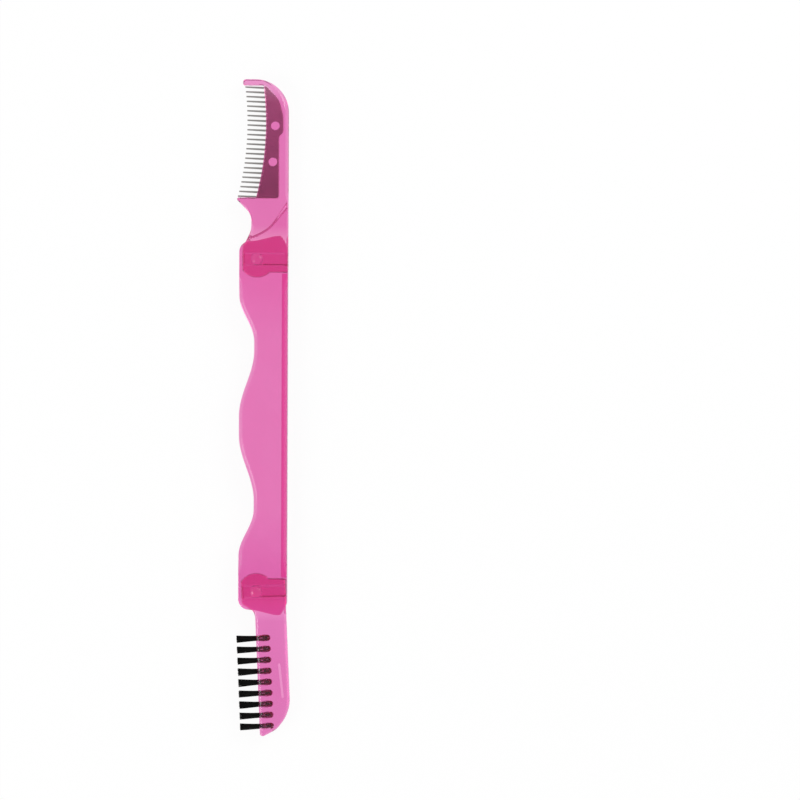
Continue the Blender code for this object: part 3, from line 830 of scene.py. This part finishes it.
# %% Tang details
def tang_details(back, carried):
    """The click rib across a tang, and its two studs in one piece, ready to be joined."""
    rib = bar_rows([-3.15, 1.35, back - 0.35],
                   [(1.15, -1.70), (1.65, -1.45), (1.65, 1.45), (1.15, 1.70)])
    end = [(0.03, 2.800), (0.30, 2.806), (0.48, 2.822), (0.60, 2.830), (0.70, 2.815),
           (0.82, 2.775), (0.95, 2.722), (1.08, 2.666), (1.20, 2.612), (1.29, 2.570)]
    stud = turned_rows((0, 0), [(width, -height) for width, height in end] + end[::-1], 96)
    return [make_body("rib", rib, carried), make_body("stud", stud, carried)]


def arm_body(name, outline, wanted, drop, carried):
    """An arm's outer body, with a rounded edge as wide as wanted."""
    return make_body(name, carry(outline, edge_width(outline, wanted), soft_side(drop),
                                 -tang_half, tang_half), carried)


def tang_painted_light_and_shade(x, y, z, up):
    """Painted shade of 1 for the rib's slope towards the photo's foot, behind the stud.

    Its slope towards the photo's head gets painted light instead, and the studs a little
    painted shade.
    """
    slope = (np.abs(z) > 1.5) & (np.abs(up) < 0.97) & (np.abs(y) > 1.1) & (np.abs(y) < 1.75)
    rib = np.where(slope & (y < 0) & (x > 1.3), 1.0, np.where(slope & (y > 0), -0.5, 0.0))
    return np.where((np.abs(z) > 2.0) & (np.abs(up) > 0.5), 0.3, rib)


def mark_light_shade_and_haze(arm, y_pivot, chosen):
    """Mark an arm's faces with painted light and shade, and haze, as the sum of what chosen
    and its tang give for them.

    Both get the centres x, y, z from the pivot in mm, and how far the faces look up.
    """
    faces = arm.data.polygons
    x, y, z = (read(faces, "center", 3).reshape(-1, 3) / MM - (pivot_x, y_pivot, middle)).T
    up = read(faces, "normal", 3)[2::3]
    marks = chosen(x, y, z, up) + tang_painted_light_and_shade(x, y, z, up)
    keep_number(arm.data, "painted_light_shade_and_haze", "FACE", marks)
    print(arm.name, "has", int((marks != 0).sum()), "marked faces")


print("tang:", 2 * tang_half, "mm thick, nose radius", nose_radius, "mm")

# %% [markdown]
# Now the arm itself. Its rounded edge is wide on the thin head, where the photograph
# shows a broad pale border, and narrow at the roots, on the guard and on the tang.

# %% Comb arm body
def comb_edge():
    """Wanted width of the arm's rounded edge at each point of its outline."""
    x, y = comb_shape.T
    beyond = y - step_at(x)[0]
    wanted = np.interp(beyond, [-1.5, 0.5], [0.45, 2.2])
    wanted = np.where((np.abs(x - root_line(y)) < 0.4) & (beyond > 1), 0.35, wanted)
    return np.where((x < 1.5) & (beyond > 9), np.minimum(wanted, 0.6), wanted)


def make_comb_arm():
    """Outer body, less both steps and the plate's slot, with studs, rib and stakes."""
    arm = arm_body("comb_arm_moulding", comb_shape, comb_edge(), 0.55, at_comb_pivot)
    front, back = root_line(last_tooth) - 2.0, plate_back(0.2)
    slot = even(rounded([(front, back[0][1], 0), *back, (front, back[-1][1], 0)]), 0.2)
    shape_with(arm, [step_cutter("upper_step", 1), step_cutter("lower_step", -1),
                     upright_body("plate_slot", slot, -0.45, 0.45, at_comb_pivot)])
    shape_with(arm, tang_details(comb_back, at_comb_pivot) + pegs("stake", 1.0), "UNION")
    finish_piece(arm, comb_pink, "comb", ["comb_arm"])
    mark_light_shade_and_haze(arm, pivot_y, step_painted_shade)


make_comb_arm()

# %% [markdown]
# ## The steel comb
#
# The teeth are stamped from one thin sheet with the plate that holds them. Each tooth
# tapers to a blunt tip, and all slope a little down the arm. Stamping leaves a soft edge,
# which the profile keeps: without it the teeth would have no glint.

# %% Steel comb plate
tooth_length, tooth_slope, gap_depth = 4.5, math.radians(2.5), 0.32
root_half, tip_half = 0.26, 0.18


def teeth_corners():
    """Outline corners down the row: for each tooth its root, its blunt tip and the gap."""
    along = np.array([-math.cos(tooth_slope), math.sin(tooth_slope)])
    across = np.array([math.sin(tooth_slope), math.cos(tooth_slope)])
    y = first_tooth - np.arange(tooth_count) * tooth_pitch
    drop = tooth_length * math.sin(tooth_slope)
    base = np.column_stack([root_line(y), y - drop])
    root, tip = base - along * (gap_depth - 0.25), base + along * tooth_length
    gap_y = y - tooth_pitch / 2 - drop
    gap = np.column_stack([root_line(gap_y) + gap_depth, gap_y])
    places = [root + across * root_half, tip + across * tip_half - along * 0.02,
              tip - across * tip_half - along * 0.02, root - across * root_half, gap]
    radii = [0.12, 0.13, 0.13, 0.12, 0.2]
    corners = [with_third(place, radius) for place, radius in zip(places, radii)]
    return np.stack(corners, 1).reshape(-1, 3)[:-1]


def make_comb_plate():
    """Thin plate with teeth and soft stamped edges, less two holes for the stakes."""
    bottom = last_tooth - 0.5
    end = [(root_line(bottom) + 0.45, bottom, 0.1)]
    shape = even(rounded(np.vstack([plate_back(0), teeth_corners(), end]), 9), 0.07)
    soft = np.array([(1.0, -1.0), (0.45, -0.93), (0.12, -0.78), (0, -0.5), (0, 0.5),
                     (0.12, 0.78), (0.45, 0.93), (1.0, 1.0)])
    plate = make_body("steel_comb", carry(shape, np.full(len(shape), 0.07), soft, -0.25, 0.25),
                      at_comb_pivot)
    shape_with(plate, pegs("hole", 1.06))
    return plate


steel_comb = make_comb_plate()

# %% [markdown]
# The teeth are bare steel. Behind the roots the plate lies in its pocket, and the pink
# light that fills the gap there is painted on the steel, brighter towards the top of the
# plate. Fine lines run along the teeth, as rolling leaves them.

# %% Steel
def in_the_pocket(tree, place):
    """1 behind the line of the roots and 0 on the teeth.

    The root line is close to x = crest - (y - crest's y)^2 / (2 * radius).
    """
    crest_x = lash_crest + pivot_x
    away = calculate(tree, "SUBTRACT", axis_of(tree, place, "Object", "Y"),
                     (pivot_y + crest_y) * MM)
    bow = calculate(tree, "MULTIPLY", calculate(tree, "POWER", away, 2.0),
                    1 / (2 * lash_radius * MM))
    behind = calculate(tree, "ADD", bow, axis_of(tree, place, "Object", "X"))
    return stretch(tree, behind, (crest_x - 0.1) * MM, (crest_x + 0.3) * MM)


def add_grain(tree, shader, pattern, smoothest, roughest, strength):
    """Let a pattern set the roughness, and press the same pattern into the surface."""
    fill(shader, {"Roughness": stretch(tree, pattern, 0.0, 1.0, smoothest, roughest),
                  "Normal": relief(tree, pattern, strength, 0.01)})


def brushed_steel():
    """Steel with fine lines along the teeth, and painted pink light where it lies in the
    pocket.

    A cloud mottles the painted light, which brightens from the foot of the plate to its top.
    """
    material, tree, shader, place = new_material("stamped_steel")
    drawn = add_node(tree, "Mapping", {"Vector": (place, "Object"),
                                       "Scale": (300, 9000, 2000)})
    blots = cloud(tree, place, 220.0, 2.0)
    bare = mix(tree, blots, (0.40, 0.385, 0.375), (0.54, 0.52, 0.51))
    # painted light: the pink light brightens from the foot of the plate to its top
    upper = stretch(tree, axis_of(tree, place, "Object", "Y"), 55 * MM, 82 * MM, -0.15, 0.75)
    painted_pink_light = mix(tree, calculate(tree, "MULTIPLY_ADD", blots, 0.3, upper),
               (0.64, 0.395, 0.484), (1.00, 0.72, 0.76))
    steel = mix(tree, in_the_pocket(tree, place), bare, painted_pink_light)
    fill(shader, {"Metallic": 1.0, "Base Color": steel})
    add_grain(tree, shader, cloud(tree, drawn, 1.0, 3.0, "Vector"), 0.22, 0.42, 0.25)
    return material


finish_piece(steel_comb, brushed_steel(), "comb", ["comb_blade"], 40)

# %% [markdown]
# ## The brush arm
#
# The same kind of nose and stop, then a straight blade of plastic that ends in a soft
# point. It stands two and a half degrees past straight. Nine blind holes in its front
# edge hold the tufts, and through the pink their ends can be seen.

# %% Brush arm outline
brush_back, brush_reach, brush_front, brush_lean = 7.0, 35.14, 0.45, math.radians(2.5)
tuft_pitch, tuft_count, first_tuft, tuft_rake = 2.64, 9, 11.27, math.radians(1.3)
tuft_places = first_tuft + np.arange(tuft_count) * tuft_pitch


def at_brush_pivot(points):
    """Carry points from the brush arm's frame to the row frame.

    The frame is turned half round about x, so that its y points down the handle, and
    then leaned about z.
    """
    x, y, z = points[:, 0], -points[:, 1], -points[:, 2]
    c, s = math.cos(brush_lean), math.sin(brush_lean)
    return np.stack([x * c - y * s + pivot_x, x * s + y * c - pivot_y, z + middle], 1)


def brush_outline(step=0.13):
    """Nose, back, curved chin, soft point and straight front."""
    return even(rounded(np.vstack([
        nose(brush_back, brush_lean),
        [(brush_back, 0.832 * brush_reach, 9.0),
         (0.51 * brush_back, 0.946 * brush_reach, 5.0), (-brush_front, brush_reach, 0.7),
         (-brush_front, 4.7, 3.0), (-tang_front, 2.8, 1.0)]])), step)


brush_shape = brush_outline()
print("brush arm outline:", len(brush_shape), "points,", np.ptp(brush_shape, 0).round(2), "mm")

# %% [markdown]
# A tuft hole is turned: a narrow mouth, a belly where the staple spreads the tuft, and a
# blunt end. Its faces get painted shade, which turns the light in it wine red. A thin
# straight mark is sunk in each face of the blade, and its floor gets painted light.

# %% Tuft holes and sunk marks
def out_of_hole(points, y):
    """Carry points from a tuft's frame, whose z points out of its hole, to the arm's."""
    c, s = math.cos(tuft_rake), math.sin(tuft_rake)
    x, across = -points[..., 2], points[..., 1]
    return np.stack([x * c + across * s - brush_front, -x * s + across * c + y,
                     points[..., 0]], -1)


def tuft_holes():
    """One turned cutter for each tuft, as (radius, height from the mouth)."""
    rows = turned_rows((0, 0), [
        (0.05, -3.50), (0.36, -3.42), (0.56, -3.15), (0.75, -2.65), (0.84, -2.2), (0.84, -1.9),
        (0.75, -1.3), (0.67, -0.7), (0.67, -0.02), (0.69, 0.9)], 48)
    return [make_body("tuft_hole_%d" % number, out_of_hole(rows, y), at_brush_pivot)
            for number, y in enumerate(tuft_places)]


def sunk_marks(half_width=0.28, floor=1.35):
    """Cutters for the long mark with round corners in each face of the arm."""
    ends = np.array([(0.69, 0.505), (0.765, 0.726)]) * (brush_back, brush_reach)
    run = unit(ends[1] - ends[0])
    side, run = np.array([-run[1], run[0]]) * half_width, run * half_width
    mark = even(rounded([(*corner, 0.27) for corner in (
        ends[0] + side - run, ends[0] - side - run, ends[1] - side + run,
        ends[1] + side + run)]), 0.06)
    return [upright_body("mark", mark, floor, 2.5, at_brush_pivot),
            upright_body("rear_mark", mark, -2.5, -floor, at_brush_pivot)]


def blade_painted_shade_and_light(x, y, z, up):
    """Painted shade of 0.75 for the faces of the tuft holes, and painted light of -1 for the
    floors of the sunk marks.
    """
    c, s = math.cos(brush_lean), math.sin(brush_lean)
    back, along = x * c + y * s, x * s - y * c
    nearest = np.abs(along[:, None] - tuft_places).min(1)
    hole = (back > -0.35) & (back < 3.3) & (nearest < 0.9) & (np.abs(z) < 0.9)
    mark = (np.abs(z) > 1.3) & (np.abs(z) < 1.4) & (y < -17) & (np.abs(up) > 0.99)
    return 0.75 * hole - 1.0 * mark


print("tufts at", tuft_places.round(2).tolist())

# %% [markdown]
# The rounded edge is narrower along the front, so that the tufts are seen through a flat
# face, and narrower again on the chin.

# %% Brush arm body
def make_brush_arm():
    """Outer body, less the tuft holes and the sunk marks, with the rib and the studs."""
    x, y = brush_shape.T
    wanted = np.interp(y, [4.5, 8.5, 27.0, 31.0], [0.45, 1.1, 1.1, 0.6])
    wanted = np.where((x < 0) & (y > 6.5), np.minimum(wanted, 0.8), wanted)
    arm = arm_body("brush_arm_moulding", brush_shape, wanted, 0.42, at_brush_pivot)
    shape_with(arm, tuft_holes() + sunk_marks())
    shape_with(arm, tang_details(brush_back, at_brush_pivot), "UNION")
    finish_piece(arm, brush_pink, "brush", ["brush_arm"])
    mark_light_shade_and_haze(arm, -pivot_y, blade_painted_shade_and_light)


make_brush_arm()

# %% [markdown]
# ## The bristle tufts
#
# A tuft is a few dozen black filaments folded in half round a staple and punched into
# the hole, so both ends of each stand out. One formula lays every filament: out of the
# hole along one leg, round under the staple, and out again along the other.

# %% Filament paths
filament_count, tuft_reach, staple_depth, fold_share = 70, 4.75, 2.8, 0.12


def filament_paths(seed):
    """Centre lines of a tuft in its own frame, as (filament, station, xyz) in mm.

    A filament's place in the bundle is (rho, theta) in a half disc. Its leg is on side
    -1 for the first half of the way and on side +1 for the second. The bundle is narrow
    at the mouth, parts to both sides of the staple lower down, and fans out to its tips.
    """
    chance = np.random.default_rng(seed)
    number = np.arange(filament_count)
    rho = np.sqrt((number + 0.5) / filament_count)
    theta = math.pi * ((number * 0.618034) % 1.0)
    across, out = (rho * np.cos(theta))[:, None], (rho * np.sin(theta))[:, None]
    half = np.array([0.05, 0.10, 0.16, 0.28, 0.42, 0.60, 0.80, 1.0])
    way = np.concatenate([-half[::-1], [0.0], half])[None]
    leg = np.clip((np.abs(way) - fold_share) / (1 - fold_share), 0, 1)
    turn = np.clip(way / fold_share, -1, 1) * math.pi / 2
    tips = tuft_reach - 0.16 * chance.random((filament_count, 2))
    top = np.where(way < 0, tips[:, :1], tips[:, 1:])
    height = -staple_depth + (top + staple_depth) * leg - (0.20 + 0.40 * out) * np.cos(turn)
    at_staple = np.clip((-0.35 - height) / 0.9, 0, 1)
    at_staple = at_staple * at_staple * (3 - 2 * at_staple)
    fan = np.clip(height / tuft_reach, 0, 1.05)
    lean = chance.normal(0, 0.05, (filament_count, 2, 2))
    lean = np.where((way < 0)[..., None], lean[:, :1], lean[:, 1:])
    spread = chance.uniform(0.14, 0.32)
    bulge = np.exp(-((height + 2.05) / 0.75) ** 2)
    radius = 0.59 + 0.18 * bulge + spread * fan + 0.08 * fan ** 2
    x = across * radius + lean[..., 0] * fan ** 1.5
    y = np.sin(turn) * ((0.03 + 0.97 * out) * radius * (1 - at_staple)
                        + (0.20 + 0.52 * out) * at_staple)
    y = y - 0.10 * fan ** 2 + lean[..., 1] * fan ** 1.5
    return np.stack([x, y, height], -1)


print("paths of a tuft:", filament_paths(0).shape)

# %% [markdown]
# Each filament is a thin four-sided tube. Its points keep two numbers for the material:
# one of the filament's own, and one that tells how deep in the hole the point is, which
# sets how much painted wine-red light it gets.

# %% Tufts
def tubes(paths, radius, sides=4):
    """Thin tubes along paths: (path, station, side, xyz), with a radius for each station.

    A ring is a circle across the path, in a frame of the path's direction and the tuft's x.
    """
    direction = unit(np.gradient(paths, axis=1))
    first = unit(np.cross(direction, np.array([1.0, 0.05, 0.02])))
    second, circle = np.cross(direction, first), whole_circle(sides)
    ring = first[:, :, None] * circle[:, :1] + second[:, :, None] * circle[:, 1:]
    return paths[:, :, None] + radius[:, None, None] * ring


def make_tuft(number, y):
    """All filaments of one tuft as one mesh, drawn in a little at both ends."""
    paths = filament_paths(number + 11)
    radius = np.full(paths.shape[1], 0.048)
    radius[[0, -1]] = 0.028
    rings = tubes(paths, radius)
    tuft = make_body("bristles_%d" % (number + 1), out_of_hole(rings, y), at_brush_pivot)
    each = np.random.default_rng(number).random(filament_count)
    keep_number(tuft.data, "filament", "POINT", each.repeat(rings[0, ..., 0].size))
    # how deep in the hole a point is: how much painted wine-red light it gets
    deep = np.clip((-paths[..., 2] - 0.45) / 0.5, 0, 1)
    keep_number(tuft.data, "in_the_hole", "POINT", deep.repeat(rings.shape[2]))
    return tuft


def black_nylon():
    """Nearly black, some filaments greyer than others, and painted wine-red light down in the
    holes.
    """
    material, tree, shader, place = new_material("black_nylon")
    shade = mix(tree, kept_number(tree, "filament"), (0.0010, 0.0010, 0.0010),
                (0.0060, 0.0055, 0.0050))
    # painted light: the pink plastic's wine-red light laid on the filaments in the holes
    painted_wine_light = mix(tree, kept_number(tree, "in_the_hole"), shade, (0.260, 0.000, 0.045))
    fill(shader, {"Specular IOR Level": 0.15, "Base Color": painted_wine_light})
    add_grain(tree, shader, cloud(tree, place, 1500.0, 2.0), 0.35, 0.6, 0.2)
    return material


nylon = black_nylon()
for number, y in enumerate(tuft_places):
    tuft = make_tuft(number, y)
    finish_piece(tuft, nylon, "brush", ["bristle_tuft_%d" % (number + 1)], 60)

# %% [markdown]
# ## The staples
#
# They sit deep in the tufts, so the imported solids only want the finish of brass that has
# gone brown.

# %% Staples
def staple_brass():
    """Brown brass: blotches of tarnish change both its colour and its haze."""
    material, tree, shader, place = new_material("staple_brass")
    tarnish = cloud(tree, place, 1800.0, 4.0)
    tint = mix(tree, tarnish, (0.030, 0.020, 0.010), (0.160, 0.110, 0.055))
    fill(shader, {"Metallic": 1.0, "Base Color": tint})
    add_grain(tree, shader, tarnish, 0.3, 0.6, 0.2)
    return material


brass = staple_brass()
staples = [node for name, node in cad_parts.items() if name.startswith("tuft_staple")]
for staple in staples:
    staple.data.materials.clear()
    staple.data.materials.append(brass)
print("staples finished:", len(staples))
